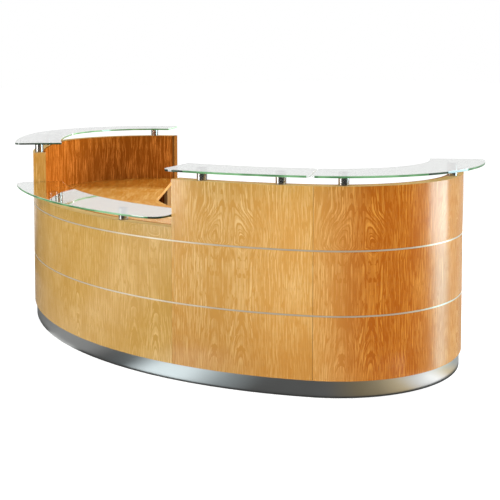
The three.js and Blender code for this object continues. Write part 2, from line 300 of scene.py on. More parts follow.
def slab(bm, plan, bottom, top, edge, grain=0.0, side_slot=None):
    """An upright prism on a plan outline with softened rims.

    side_slot picks the material of a side by its place.
    """
    plan = counter_clockwise(plan)
    soft = edge * RIM_SHARE
    levels = [(edge, bottom), (soft, bottom + soft), (0, bottom + edge)]
    levels += [(0, top - edge), (soft, top - soft), (edge, top)]
    rings = []
    for inward, height in levels:
        rings.append([bm.verts.new((*point, height)) for point in offset_inward(plan, inward)])
    count = len(plan)
    travelled = [0.0]
    for a, b in zip(plan, plan[1:] + plan[:1]):
        travelled.append(travelled[-1] + (b - a).length)
    for (_, low), (_, high), ring, upper in zip(levels, levels[1:], rings, rings[1:]):
        for i in range(count):
            j = (i + 1) % count
            face = bm.faces.new((ring[i], ring[j], upper[j], upper[i]))
            if side_slot:
                face.material_index = side_slot((plan[i] + plan[j]) / 2)
            near, far = travelled[i], travelled[i + 1]
            lift = (low - bottom, high - bottom)
            lay(bm, face, [(near, lift[0]), (far, lift[0]), (far, lift[1]), (near, lift[1])])
    cosine, sine = math.cos(grain), math.sin(grain)
    for ring in (rings[0], rings[-1]):
        face = bm.faces.new(ring)
        lay(bm, face, [(v.co.x * cosine + v.co.y * sine, v.co.y * cosine - v.co.x * sine) for v in ring])


def lathe(bm, centre, profile):
    """A solid turned about an upright axis from (radius, height) points that start and end on it."""
    rings = []
    for radius, height in profile:
        count = LATHE_SIDES if radius else 1
        ring = []
        for i in range(count):
            x, y = toward(360 * i / LATHE_SIDES) * radius
            ring.append(bm.verts.new((centre.x + x, centre.y + y, height)))
        rings.append(ring)
    widest = max(radius for radius, _ in profile)
    for (near, low), (far, high), ring, upper in zip(profile, profile[1:], rings, rings[1:]):
        for i in range(LATHE_SIDES):
            j = i + 1
            corners = []
            places = []
            for around, level, radius, height in ((i, ring, near, low), (j, ring, near, low),
                                                  (j, upper, far, high), (i, upper, far, high)):
                vertex = level[around % len(level)]
                if vertex not in corners:
                    corners.append(vertex)
                    places.append((math.tau * widest * around / LATHE_SIDES, height - radius))
            lay(bm, bm.faces.new(corners), places)


def add_piece(bm, node, materials, body=DESK):
    """Finishes a mesh as the piece that stands for a node of the frame."""
    bmesh.ops.recalc_face_normals(bm, faces=bm.faces)
    mesh = bpy.data.meshes.new(f"{node}_dressed")
    bm.to_mesh(mesh)
    bm.free()
    mesh.shade_smooth()
    mesh.set_sharp_from_angle(angle=SHARP_EDGE)
    for material in materials:
        mesh.materials.append(material)
    piece = bpy.data.objects.new(f"{node}_dressed", mesh)
    bpy.context.scene.collection.objects.link(piece)
    weighted = piece.modifiers.new("even shading", "WEIGHTED_NORMAL")
    weighted.keep_sharp = True
    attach(piece, body)
    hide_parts(node)
    return piece


# Shader building, with the colour sockets of a Mix node and the middle of a noise
MIX_SOCKETS = (0, 6, 7)
MIX_RESULT = 2
NOISE_MIDDLE = 0.5


def opaque(colour):
    return (*colour, 1.0)


class Wiring:
    """Short calls for the nodes of one tree."""

    def __init__(self, tree):
        self.tree = tree

    def feed(self, socket, value):
        if isinstance(value, bpy.types.NodeSocket):
            self.tree.links.new(value, socket)
        else:
            socket.default_value = value

    def node(self, kind):
        return self.tree.nodes.new(f"ShaderNode{kind}")

    def math(self, operation, *values):
        node = self.node("Math")
        node.operation = operation
        for socket, value in zip(node.inputs, values):
            self.feed(socket, value)
        return node.outputs[0]

    def unrolled(self):
        """The two unrolled coordinates of a surface, in metres."""
        node = self.node("UVMap")
        node.uv_map = GRAIN
        parts = self.node("SeparateXYZ")
        self.feed(parts.inputs[0], node.outputs[0])
        return parts.outputs[0], parts.outputs[1]

    def noise(self, first, second, look):
        """Noise with its own density, in cells per metre, along each of two coordinates."""
        vector = self.node("CombineXYZ")
        for socket, place, scale in zip(vector.inputs, (first, second), look.density):
            self.feed(socket, self.math("MULTIPLY", place, scale))
        self.feed(vector.inputs["Z"], look.seed)
        node = self.node("TexNoise")
        self.feed(node.inputs["Vector"], vector.outputs[0])
        self.feed(node.inputs["Scale"], 1.0)
        self.feed(node.inputs["Detail"], look.detail)
        return node.outputs[0]

    def swing(self, value, first, second, look, reach):
        """A value moved to and fro by noise."""
        offset = self.math("SUBTRACT", self.noise(first, second, look), NOISE_MIDDLE)
        return self.math("MULTIPLY_ADD", offset, reach, value)

    def spread(self, value, low, high, least=0.0, most=1.0):
        """Maps a range of values smoothly to another."""
        node = self.node("MapRange")
        node.interpolation_type = "SMOOTHSTEP"
        for socket, number in zip(node.inputs, (value, low, high, least, most)):
            self.feed(socket, number)
        return node.outputs[0]

    def blend(self, share, first, second, mode="MIX"):
        node = self.node("Mix")
        node.data_type = "RGBA"
        node.blend_type = mode
        for index, value in zip(MIX_SOCKETS, (share, first, second)):
            self.feed(node.inputs[index], value)
        return node.outputs[MIX_RESULT]

    def choose(self, share, first, second):
        """One of two shaders, or a mix of them."""
        node = self.node("MixShader")
        for socket, value in zip(node.inputs, (share, first, second)):
            self.feed(socket, value)
        return node.outputs[0]

    def seen(self):
        """One for the rays that show a background: straight, mirrored or through glass."""
        path = self.node("LightPath").outputs
        mirrored = self.math("MAXIMUM", path["Is Camera Ray"], path["Is Glossy Ray"])
        return self.math("MAXIMUM", mirrored, path["Is Transmission Ray"])


class Shader(Wiring):
    """A material with one Principled surface."""

    def __init__(self, name):
        self.material = bpy.data.materials.new(name)
        self.material.use_nodes = True
        super().__init__(self.material.node_tree)
        self.surface = self.tree.nodes["Principled BSDF"]

    def set(self, **values):
        for name, value in values.items():
            self.feed(self.surface.inputs[name.replace("_", " ").title().replace("Ior", "IOR")], value)

    def bump(self, height, strength, distance):
        node = self.node("Bump")
        for name, value in (("Strength", strength), ("Distance", distance), ("Height", height)):
            self.feed(node.inputs[name], value)
        self.feed(self.surface.inputs["Normal"], node.outputs[0])

    def output(self, surface):
        self.feed(self.tree.nodes["Material Output"].inputs["Surface"], surface)


# Oak: crown-cut leaves laid in matched pairs, with straight grain between the pairs
SHEET_WIDTH = 0.668
LEAF_WIDTH = 0.147
PAIR_MIDDLE = 0.219
EYE_HEIGHT = 0.775
CROWN_DEPTH = 0.060
CROWN_SLOPE = 0.55
CROWN_LEAN = 0.05
ROOT_HASTE = 2.5
ROOT_CROWN = (-0.74, -0.34, 0.15, 1.0)
LEAN_RISE = (0.0, 0.20)
LEAN_NEARNESS = (0.02, LEAF_WIDTH, 1.0, 0.0)

# Noises that bend the grain, with their reach in metres
SWAY = Noise((3.0, 0.9), 1.0)
SWAY_REACH = 0.06
RIPPLE = Noise((16.0, 5.0), 2.0, 3.0)
RIPPLE_REACH = 0.026
BULGE = Noise((7.0, 4.0), 3.0)
BULGE_REACH = 0.16

# Growth rings: width and weight of the pale and of the fine dark ones, and how they waver and fade
RINGS = ((0.019, -0.42), (0.0115, 0.42))
RING_FOLD = 0.5
RING_CREST = (0.28, 0.48)
WAVER = Noise((9.0, 1.5), 4.0)
FADING = Noise((14.0, 3.0), 10.0)
FADING_RANGE = (0.30, 0.70)

# Marks of the wood, with their weights in its tone
FLECK = Noise((170.0, 8.0), 5.0, 4.0)
FLECK_WEIGHT = 1.2
FIBRE = Noise((430.0, 13.0), 6.0, 3.0)
FIBRE_WEIGHT = 0.6
CLOUD = Noise((9.0, 3.0), 7.0)
CLOUD_WEIGHT = 0.9
DASH = Noise((150.0, 12.0), 11.0, 3.0)
DASH_RANGE = (0.53, 0.63)
DASH_WEIGHT = 0.95
TONGUE = Noise((40.0, 2.4), 9.0, 4.0)
TONGUE_RANGE = (0.48, 0.66)
PORE = Noise((900.0, 30.0), 8.0)
PORE_RANGE = (0.58, 0.70)
PORE_SHADE = 0.5
PORE_SHARE = 0.3
TONE_RANGE = (0.80, 1.64)

# Lacquer: roughness, what fibres and pores add to it, and bump as (strength, distance)
OAK_GLOSS = 0.17
FIBRE_GLOSS = 0.12
PORE_GLOSS = 0.12
OAK_BUMP = (0.10, 0.0004)


def growth_rings(shader, across, along, figured):
    """Distance from the heart of the log, whose level lines are the growth rings."""
    across = shader.swing(across, across, along, SWAY, SWAY_REACH)
    across = shader.swing(across, across, along, RIPPLE, RIPPLE_REACH)
    if not figured:
        return across
    sheet = shader.math("FRACT", shader.math("DIVIDE", across, SHEET_WIDTH))
    from_middle = shader.math("SUBTRACT", shader.math("MULTIPLY", sheet, SHEET_WIDTH), PAIR_MIDDLE)
    from_heart = shader.math("SUBTRACT", shader.math("ABSOLUTE", from_middle), LEAF_WIDTH / 2)
    over_eye = shader.math("SUBTRACT", along, EYE_HEIGHT)
    rise = shader.swing(over_eye, across, along, BULGE, BULGE_REACH)
    lean = shader.math("MULTIPLY", shader.spread(rise, *LEAN_RISE), CROWN_LEAN)
    nearness = shader.spread(shader.math("ABSOLUTE", from_heart), *LEAN_NEARNESS)
    from_heart = shader.math("MULTIPLY_ADD", lean, nearness, from_heart)
    root = shader.spread(rise, *ROOT_CROWN)
    rise = shader.math("MULTIPLY_ADD", shader.math("MINIMUM", rise, 0.0), ROOT_HASTE, rise)
    depth = shader.math("TANH", shader.math("MULTIPLY", rise, CROWN_SLOPE / CROWN_DEPTH))
    depth = shader.math("MULTIPLY", depth, shader.math("MULTIPLY", root, CROWN_DEPTH))
    squares = shader.math("MULTIPLY_ADD", from_heart, from_heart, shader.math("MULTIPLY", depth, depth))
    return shader.math("SQRT", squares)


def oak_tone(shader, across, along, figured, flame):
    """Share of dark wood, and the fibres and pores by themselves."""
    heart = growth_rings(shader, across, along, figured)
    waver = shader.noise(across, along, WAVER)
    strength = shader.spread(shader.noise(across, along, FADING), *FADING_RANGE)
    marks = []
    for width, weight in RINGS:
        wave = shader.math("PINGPONG", shader.math("MULTIPLY_ADD", heart, 1 / width, waver), RING_FOLD)
        marks.append((shader.math("MULTIPLY", shader.spread(wave, *RING_CREST), strength), weight))
    fibre = shader.noise(across, along, FIBRE)
    marks.append((shader.noise(across, along, FLECK), FLECK_WEIGHT))
    marks.append((fibre, FIBRE_WEIGHT))
    marks.append((shader.noise(across, along, CLOUD), CLOUD_WEIGHT))
    marks.append((shader.spread(shader.noise(heart, along, DASH), *DASH_RANGE), DASH_WEIGHT))
    marks.append((shader.spread(shader.noise(heart, along, TONGUE), *TONGUE_RANGE), flame))
    tone = 0.0
    for mark, weight in marks:
        tone = shader.math("MULTIPLY_ADD", mark, weight, tone)
    pore = shader.spread(shader.noise(across, along, PORE), *PORE_RANGE)
    return shader.spread(tone, *TONE_RANGE), fibre, pore


def oak(name, woods, figured=True, turned=False, lustre=0.5, start=0.0,
        drift_woods=None, drift=None, shade=None, flame=0.0):
    """Lacquered oak from a pair of light and dark wood, which may drift to a second pair and back, partly
    as the wood's tone and partly as painted light and shade; a multiplied tint may add painted shade
    along the grain.
    """
    shader = Shader(name)
    across, along = shader.unrolled()
    if turned:
        across, along = along, across
    if start:
        across = shader.math("SUBTRACT", across, start)
    tone, fibre, pore = oak_tone(shader, across, along, figured, flame)
    light, dark = woods
    colour = shader.blend(tone, opaque(light), opaque(dark))
    # The drift to the second pair is partly the wood's tone and partly painted light and shade
    if drift_woods:
        warm = shader.blend(tone, *map(opaque, drift_woods))
        share = 1.0
        for slope in drift:
            share = shader.math("MULTIPLY", shader.spread(across, *slope), share)
        colour = shader.blend(share, colour, warm)
    # Painted shade: a tint multiplied over a stretch along the grain
    if shade:
        tint, reach = shade
        colour = shader.blend(shader.spread(along, *reach), colour, opaque(tint), "MULTIPLY")
    pored = [PORE_SHADE * channel for channel in dark]
    colour = shader.blend(shader.math("MULTIPLY", pore, PORE_SHARE), colour, opaque(pored))
    gloss = shader.math("MULTIPLY_ADD", fibre, FIBRE_GLOSS, OAK_GLOSS - FIBRE_GLOSS / 2)
    shader.set(base_color=colour, roughness=shader.math("MULTIPLY_ADD", pore, PORE_GLOSS, gloss))
    shader.set(specular_ior_level=lustre)
    shader.bump(shader.math("SUBTRACT", fibre, pore), *OAK_BUMP)
    return shader.material


# Softwood of the hidden frames, with bump as (strength, distance)
SOFTWOOD = ((0.62, 0.46, 0.25), (0.45, 0.29, 0.13))
SOFTWOOD_GRAIN = Noise((120.0, 4.0), 1.0, 4.0)
SOFTWOOD_RANGE = (0.3, 0.7)
SOFTWOOD_ROUGHNESS = 0.6
SOFTWOOD_UNEVENNESS = 0.2
SOFTWOOD_BUMP = (0.2, 0.0006)

# Metals
SCRATCH_SEED = 1.0
SCRATCH_DETAIL = 4.0
SCRATCH_WEIGHT = 0.6
SMUDGE = Noise((7.0, 9.0), 2.0)
SMUDGE_WEIGHT = 0.4
WORN_SHADE = 0.80
METAL_BUMP = (0.05, 0.0002)

# Glass and its cut edge, with a painted highlight from a height above the lower face
GLASS_TINT = (0.78, 0.83, 0.78)
GLASS_PASSING_TINT = (0.90, 0.95, 0.91)
GLASS_IOR = 1.7
GLASS_FILM = Noise((6.0, 6.0), 1.0, 3.0)
FILM_ROUGHNESS = (0.45, 0.75, 0.0, 0.004)
EDGE_STRETCH = Noise((4.0, 20.0), 1.0)
EDGE_STRETCH_RANGE = (0.42, 0.62)
EDGE_ROUGHNESS = (0.3, 0.7, 0.03, 0.07)
EDGE_IOR = 1.9
EDGE_HIGHLIGHT_HEIGHT = (0.0085, 0.0115)
EDGE_HIGHLIGHT_LEVEL = 0.5
EDGE_HIGHLIGHT_SHARE = 0.4


def softwood():
    shader = Shader("frame softwood")
    place = shader.node("TexCoord").outputs["Object"]
    parts = shader.node("SeparateXYZ")
    shader.feed(parts.inputs[0], place)
    level = shader.math("ADD", parts.outputs[0], parts.outputs[1])
    grain = shader.noise(level, parts.outputs[2], SOFTWOOD_GRAIN)
    colour = shader.blend(shader.spread(grain, *SOFTWOOD_RANGE), *map(opaque, SOFTWOOD))
    roughness = shader.math("MULTIPLY_ADD", grain, SOFTWOOD_UNEVENNESS, SOFTWOOD_ROUGHNESS)
    shader.set(base_color=colour, roughness=roughness)
    shader.bump(grain, *SOFTWOOD_BUMP)
    return shader.material


def metal(name, colour, roughness, scratch_density, anisotropy=0.0, scratch=0.10, metallic=1.0):
    """Metal with fine scratches drawn along the first unrolled coordinate."""
    shader = Shader(name)
    along, across = shader.unrolled()
    line = shader.noise(along, across, Noise(scratch_density, SCRATCH_SEED, SCRATCH_DETAIL))
    smudge = shader.noise(along, across, SMUDGE)
    scratched = shader.math("MULTIPLY", line, SCRATCH_WEIGHT)
    shade = shader.math("MULTIPLY_ADD", smudge, SMUDGE_WEIGHT, scratched)
    worn = [WORN_SHADE * channel for channel in colour]
    shader.set(base_color=shader.blend(shade, opaque(worn), opaque(colour)), metallic=metallic)
    shader.set(roughness=shader.math("MULTIPLY_ADD", line, scratch, roughness - scratch / 2))
    if anisotropy:
        shader.set(anisotropic=anisotropy)
        tangent = shader.node("Tangent")
        tangent.direction_type = "UV_MAP"
        tangent.uv_map = GRAIN
        shader.feed(shader.surface.inputs["Tangent"], tangent.outputs[0])
    shader.bump(line, *METAL_BUMP)
    return shader.material


def clear_glass():
    """Thick clear glass; lamps and soft light pass it with a slight tint, so it throws no dark shadow."""
    shader = Shader("shelf glass")
    along, across = shader.unrolled()
    film = shader.noise(along, across, GLASS_FILM)
    shader.set(base_color=opaque(GLASS_TINT), transmission_weight=1.0, ior=GLASS_IOR)
    shader.set(roughness=shader.spread(film, *FILM_ROUGHNESS), coat_weight=1.0, coat_ior=GLASS_IOR)
    path = shader.node("LightPath").outputs
    passing = shader.math("MAXIMUM", path["Is Shadow Ray"], path["Is Diffuse Ray"])
    clear = shader.node("BsdfTransparent")
    clear.inputs["Color"].default_value = opaque(GLASS_PASSING_TINT)
    shader.output(shader.choose(passing, shader.surface.outputs[0], clear.outputs[0]))
    return shader.material


def glass_edge(name, greens):
    """Cut edge of the glass: green that deepens in stretches, with a painted highlight under the upper
    arris.
    """
    shader = Shader(name)
    light, deep = greens
    along, height = shader.unrolled()
    depth = shader.noise(along, height, EDGE_STRETCH)
    green = shader.blend(shader.spread(depth, *EDGE_STRETCH_RANGE), opaque(light), opaque(deep))
    # Painted highlight: the edge turns paler under the upper arris
    pale = [EDGE_HIGHLIGHT_LEVEL + EDGE_HIGHLIGHT_SHARE * channel for channel in light]
    colour = shader.blend(shader.spread(height, *EDGE_HIGHLIGHT_HEIGHT), green, opaque(pale))
    shader.set(base_color=colour, roughness=shader.spread(depth, *EDGE_ROUGHNESS), ior=EDGE_IOR)
    return shader.material


# Pairs of light and dark wood
LOW_OAK = ((0.80, 0.53, 0.20), (0.585, 0.33, 0.072))
# Paler copy of the wing's wood; near the step it is partly a painted highlight
PALE_OAK = ((0.90, 0.62, 0.27), (0.65, 0.335, 0.075))
BRIGHT_OAK = ((0.98, 0.64, 0.25), (0.78, 0.385, 0.085))
# Darker, redder copy of the drum's wood; in the drum's middle it is partly painted shade
WARM_SHADED_OAK = ((0.82, 0.34, 0.045), (0.50, 0.125, 0.004))
INSIDE_OAK = ((0.76, 0.27, 0.048), (0.27, 0.072, 0.006))
# Dark oak of the drum end lippings: partly darker end grain, partly painted shade
SHADED_OAK = ((0.24, 0.10, 0.026), (0.16, 0.058, 0.010))
WORKTOP_OAK = ((1.0, 0.66, 0.22), (0.68, 0.29, 0.034))
# Step lippings: a lit copy on the left and a darker copy on the right; the difference is painted light
# and shade
LEFT_STEP_LIT_OAK = ((0.86, 0.54, 0.19), (0.60, 0.30, 0.06))
RIGHT_STEP_SHADED_OAK = ((0.60, 0.37, 0.14), (0.42, 0.21, 0.05))
# Worktop edges: darker than the worktop, partly the wood's tone and partly painted shade
EDGE_SHADED_OAK = ((0.60, 0.37, 0.15), (0.42, 0.21, 0.06))
CAPPING_OAK = ((0.78, 0.54, 0.27), (0.55, 0.33, 0.13))
# Dark wood of the gables under the worktops: painted shade
GABLE_SHADED_OAK = ((0.30, 0.18, 0.08), (0.20, 0.105, 0.035))

# Place of the first sheet's edge on a wing, and weights of the dark tongues in the grain
WING_SHEET_START = 0.0945
STAFF_FLAME = 0.6
WORKTOP_FLAME = -0.28

# Rise and fall of the second wood pair, each as (from, to, least, most) along a panel; partly the wood's
# tone, partly painted light and shade
# On a wing the paler wood near the step is partly a painted highlight, turning to brighter, warmer wood
# towards the seam
WING_PAINTED_LIGHT_DRIFT = ((0.10, 0.60, 0.0, 1.0),)
# On the drum end the darker, redder middle is partly painted shade, fading back to brighter wood towards
# the end
DRUM_PAINTED_SHADE_DRIFT = ((-0.05, 0.33, 0.15, 1.0), (0.48, 0.84, 1.0, 0.3))

# Painted shade along the grain, each as a tint and (from, to, least, most)
# Wing veneer and its lipping face: painted shade, darker towards the bottom
FOOT_PAINTED_SHADE = ((0.86, 0.76, 0.58), (0.10, 0.55, 1.0, 0.0))
# Wing worktops: painted shade, darker towards their far ends by the far wall
FAR_PAINTED_SHADE = ((0.58, 0.42, 0.22), (0.91, 1.17, 0.0, 1.0))

# Metals, and pairs of light and deep green for the cut edges of the glass
PLINTH_STEEL = (0.58, 0.59, 0.58)
# Warm tan of the trim: partly the metal's own colour, partly painted reflection of the oak around it
TRIM_ALUMINIUM = (0.88, 0.79, 0.62)
STANDOFF_STEEL = (0.62, 0.60, 0.57)
FOOT_ZINC = (0.55, 0.56, 0.57)
EDGE_GREEN = ((0.24, 0.54, 0.25), (0.07, 0.23, 0.085))
# Near-white of the seam stretches: painted light through the joint
SEAM_PAINTED_PALE_GREEN = ((0.90, 0.94, 0.91), (0.72, 0.80, 0.75))
# Near-black green of the end stretches: painted dark
END_PAINTED_DARK_GREEN = ((0.025, 0.075, 0.032), (0.006, 0.018, 0.008))

# Finishes, with veneers by a unit's free end and lippings by its name
veneers = {
    None: oak("oak veneer, low counter", LOW_OAK),
    # Wing veneer: paler near the step, partly a painted highlight
    "start": oak("oak veneer, wing", PALE_OAK, start=WING_SHEET_START,
                 drift_woods=BRIGHT_OAK, drift=WING_PAINTED_LIGHT_DRIFT, shade=FOOT_PAINTED_SHADE),
    # Drum end veneer: its darker, redder middle is partly painted shade
    "stop": oak("oak veneer, drum end", BRIGHT_OAK, drift_woods=WARM_SHADED_OAK, drift=DRUM_PAINTED_SHADE_DRIFT),
}
veneer_inside = oak("oak veneer, staff side", INSIDE_OAK, figured=False, lustre=0.0, flame=STAFF_FLAME)
# Lipping face: pale wood with the same painted shade towards the bottom
lipping_face = oak("oak lipping, public face", PALE_OAK, figured=False, shade=FOOT_PAINTED_SHADE)
# Drum end lippings: dark oak, partly end grain and partly painted shade
drum_lipping = oak("oak lipping, drum end", SHADED_OAK, figured=False, lustre=0.0)
lippings = {
    # Right step lipping: darker oak as painted shade
    "right_side": oak("oak lipping, right step", RIGHT_STEP_SHADED_OAK, figured=False, lustre=0.0),
    "left_side": oak("oak lipping, left step", LEFT_STEP_LIT_OAK, figured=False, lustre=0.2),
    "right_end": drum_lipping,
    "left_end": drum_lipping,
}
capping_oak = oak("oak capping", CAPPING_OAK, figured=False, turned=True, lustre=0.0)
worktop_oak = oak("oak worktop", WORKTOP_OAK, figured=False, turned=True, flame=WORKTOP_FLAME)
# Wing worktops darken towards their far ends: painted shade
wing_worktop_oak = oak("oak wing worktop", WORKTOP_OAK, figured=False, turned=True,
                       flame=WORKTOP_FLAME, shade=FAR_PAINTED_SHADE)
# Worktop edge: partly the wood's tone, partly painted shade
worktop_edge_oak = oak("oak worktop edge", EDGE_SHADED_OAK, figured=False, turned=True, lustre=0.0)
# Gables: dark oak as painted shade under the worktops
gable_oak = oak("oak gable, painted shade", GABLE_SHADED_OAK, figured=False, lustre=0.0)
plinth_steel = metal("brushed plinth steel", PLINTH_STEEL, roughness=0.30,
                     scratch_density=(2.5, 900.0), anisotropy=0.7)
# Trim: its tan is partly painted reflection of the oak around it
trim_aluminium = metal("satin trim aluminium", TRIM_ALUMINIUM, roughness=0.36,
                       scratch_density=(4.0, 1500.0), metallic=0.5)
polished_steel = metal("polished stand-off steel", STANDOFF_STEEL, roughness=0.27,
                       scratch_density=(60.0, 300.0), scratch=0.04)
foot_zinc = metal("zinc plated foot", FOOT_ZINC, roughness=0.38, scratch_density=(90.0, 260.0))
shelf_glass = clear_glass()
shelf_edge = glass_edge("shelf glass edge", EDGE_GREEN)
shelf_end_edge = glass_edge("shelf glass end, painted dark", END_PAINTED_DARK_GREEN)
shelf_seam = glass_edge("shelf glass seam, painted pale", SEAM_PAINTED_PALE_GREEN)
frame_softwood = softwood()


# Wall units
def units():
    gap = UNIT_GAP / 2
    dark = Look(END_SLOT, *PAINTED_DARK_END)
    dark_low = Look(END_SLOT, *PAINTED_DARK_LOW_END)
    dark_drum = Look(END_SLOT, *PAINTED_DARK_DRUM)
    clear = Look(SEAM_SLOT, *PAINTED_PALE_SEAM)
    low = shorten(front_arc(-STEP_ANGLE, STEP_ANGLE), gap, gap)
    shelf = shorten(low, GLASS_GAP, GLASS_GAP)
    glass = Glass(shelf, shelf, LOW_GLASS_CORNER, LOW_GLASS_CORNER, dark_low, dark_low)
    made = [Unit("low", low, low, None, LOW_TOP, glass)]
    covered = LIPPING + FIT
    for label, side in SIDES.items():
        arc = shorten(side_arc(side), gap, gap)
        outer = shorten(arc, GLASS_STEP_OUTER_SETBACK, GLASS_GAP / 2)
        inner = shorten(arc, -GLASS_STEP_INNER_OVERHANG, GLASS_GAP / 2)
        glass = Glass(outer, inner, GLASS_FREE_CORNER, GLASS_SEAM_CORNER, dark, clear)
        made.append(Unit(f"{label}_side", arc, shorten(arc, covered, 0), "start", HIGH_TOP, glass))
        arc = shorten(end_arc(side), gap, 0)
        shelf = shorten(arc, GLASS_GAP / 2, GLASS_END_SETBACK)
        glass = Glass(shelf, shelf, GLASS_SEAM_CORNER, GLASS_FREE_CORNER, clear, dark_drum)
        made.append(Unit(f"{label}_end", arc, shorten(arc, 0, covered), "stop", HIGH_TOP, glass))
    return made


def add_fascia(unit):
    bm = new_mesh()
    panel = shorten(unit.panel, FASCIA_REVEAL, FASCIA_REVEAL)
    sweep(bm, [panel], rounded(grooved(FASCIA, unit.top), OAK_EDGE))
    for face in bm.faces:
        if face.calc_center_median().z > unit.top - OAK_EDGE / 4:
            face.material_index = TOP_SLOT
    add_piece(bm, f"{unit.name}_fascia", [veneers[unit.free], capping_oak])


def add_lining(unit):
    bm = new_mesh()
    sweep(bm, [unit.panel], rounded(rectangle(WALL - LINING, WALL, LINING_LIFT, unit.top), OAK_EDGE))
    batten = rectangle(WALL, WALL + BATTEN, WORKTOP_BOTTOM - BATTEN, WORKTOP_BOTTOM)
    sweep(bm, [shorten(unit.panel, BATTEN_STOP, BATTEN_STOP)], rounded(batten, OAK_EDGE))
    add_piece(bm, f"{unit.name}_lining", [veneer_inside])


def add_capping(unit):
    bm = new_mesh()
    strip = rectangle(CORE_OUTER, CORE_INNER, unit.top - CAP, unit.top)
    sweep(bm, [unit.panel], rounded(strip, OAK_EDGE))
    faces_of_strip = len(bm.faces)
    materials = [capping_oak]
    if unit.free:
        materials += [lippings[unit.name], lipping_face]
        length = length_of(unit.arc) - LIPPING
        ends = (0, length) if unit.free == "start" else (length, 0)
        sweep(bm, [shorten(unit.arc, *ends)], rounded(grooved(WALL, unit.top), OAK_EDGE))
    for face in list(bm.faces)[faces_of_strip:]:
        away = (face.calc_center_median().to_2d() - unit.arc.centre).length
        public = away > unit.arc.radius - OAK_EDGE / 2
        face.material_index = FACE_SLOT if public else LIPPING_SLOT
    add_piece(bm, f"{unit.name}_capping", materials)


def part_way(start, finish, distance):
    return start + (finish - start).normalized() * distance


def glass_ends(glass):
    """The two end lines of a shelf, each from its outer to its inner corner."""
    ends = []
    for at in ("start", "stop"):
        outer = point_on(glass.outer, getattr(glass.outer, at), -GLASS_OUTER_OVERHANG)
        inner = point_on(glass.inner, getattr(glass.inner, at), WALL + GLASS_INNER_OVERHANG)
        ends.append((outer, inner))
    return ends


def glass_plan(glass):
    rounding = GLASS_INNER_CORNER
    outer_arc = shorten(glass.outer, glass.start_corner, glass.stop_corner)
    outer_edge = arc_points(outer_arc, -GLASS_OUTER_OVERHANG)
    inner_edge = arc_points(shorten(glass.inner, rounding, rounding), WALL + GLASS_INNER_OVERHANG)[::-1]
    (outer_start, inner_start), (outer_stop, inner_stop) = glass_ends(glass)

    def corner(arrive, sharp, leave):
        return bent(arrive, sharp, leave, CORNER_STEPS)[1:]

    plan = list(outer_edge)
    plan += corner(plan[-1], outer_stop, part_way(outer_stop, inner_stop, glass.stop_corner))
    plan.append(part_way(inner_stop, outer_stop, rounding))
    plan += corner(plan[-1], inner_stop, inner_edge[0]) + inner_edge[1:]
    plan += corner(plan[-1], inner_start, part_way(inner_start, outer_start, rounding))
    plan.append(part_way(outer_start, inner_start, glass.start_corner))
    return plan + corner(plan[-1], outer_start, outer_edge[0])[:-1]


def add_glass(unit):
    node = f"{unit.name}_glass"
    low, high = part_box(node)
    looks = list(zip(glass_ends(unit.glass), (unit.glass.start_look, unit.glass.stop_look)))

    def edge_slot(place):
        outside = (place - unit.arc.centre).length > unit.arc.radius
        for (outer, inner), look in looks:
            away = abs((place - outer).cross((inner - outer).normalized()))
            if look.near <= away < look.far and (outside or not look.near):
                return look.slot
        return EDGE_SLOT

    bm = new_mesh()
    slab(bm, glass_plan(unit.glass), low.z, high.z, GLASS_ARRIS, side_slot=edge_slot)
    add_piece(bm, node, [shelf_glass, shelf_edge, shelf_end_edge, shelf_seam])


# Turned pieces
STANDOFF_CHAMFER = 0.002
STANDOFF_COLLAR = 0.004
STANDOFF_GROOVE = 0.0015
FOOT_PAD_HEIGHT = 0.010
FOOT_PAD_BEVEL = 0.004
FOOT_STUD_RADIUS = 0.005
FOOT_THREAD_DEPTH = 0.0007
FOOT_THREAD_PITCH = 0.0020
FOOT_NUT_RADIUS = 0.0085
FOOT_NUT_HEIGHT = 0.007


def add_standoff(node, floor):
    low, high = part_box(node)
    radius = (high.x - low.x) / 2
    collar = floor + STANDOFF_COLLAR
    profile = [
        (0, floor),
        (radius - STANDOFF_CHAMFER / 2, floor),
        (radius, floor + STANDOFF_CHAMFER / 2),
        (radius, collar - STANDOFF_GROOVE),
        (radius - STANDOFF_GROOVE, collar - STANDOFF_GROOVE / 2),
        (radius - STANDOFF_GROOVE, collar + STANDOFF_GROOVE / 2),
        (radius, collar + STANDOFF_GROOVE),
        (radius, high.z - STANDOFF_CHAMFER),
        (radius - STANDOFF_CHAMFER / 4, high.z - STANDOFF_CHAMFER / 4),
        (radius - STANDOFF_CHAMFER, high.z),
        (0, high.z),
    ]
    bm = new_mesh()
    lathe(bm, (low + high) / 2, profile)
    add_piece(bm, node, [polished_steel])


def add_foot(node):
    low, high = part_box(node)
    pad = (high.x - low.x) / 2
    nut_top = FOOT_PAD_HEIGHT + FOOT_NUT_HEIGHT
    profile = [
        (0, 0),
        (pad - METAL_EDGE, 0),
        (pad, METAL_EDGE),
        (pad, FOOT_PAD_HEIGHT - FOOT_PAD_BEVEL),
        (pad - FOOT_PAD_BEVEL, FOOT_PAD_HEIGHT),
        (FOOT_NUT_RADIUS, FOOT_PAD_HEIGHT),
        (FOOT_NUT_RADIUS, nut_top - METAL_EDGE),
        (FOOT_NUT_RADIUS - METAL_EDGE, nut_top),
        (FOOT_STUD_RADIUS, nut_top),
    ]
    turns = int((high.z - nut_top) / FOOT_THREAD_PITCH)
    for i in range(turns):
        start = nut_top + i * FOOT_THREAD_PITCH
        profile.append((FOOT_STUD_RADIUS - FOOT_THREAD_DEPTH, start + FOOT_THREAD_PITCH / 2))
        profile.append((FOOT_STUD_RADIUS, start + FOOT_THREAD_PITCH))
    profile.append((0, high.z))
    bm = new_mesh()
    lathe(bm, (low + high) / 2, profile)
    add_piece(bm, node, [foot_zinc], node)


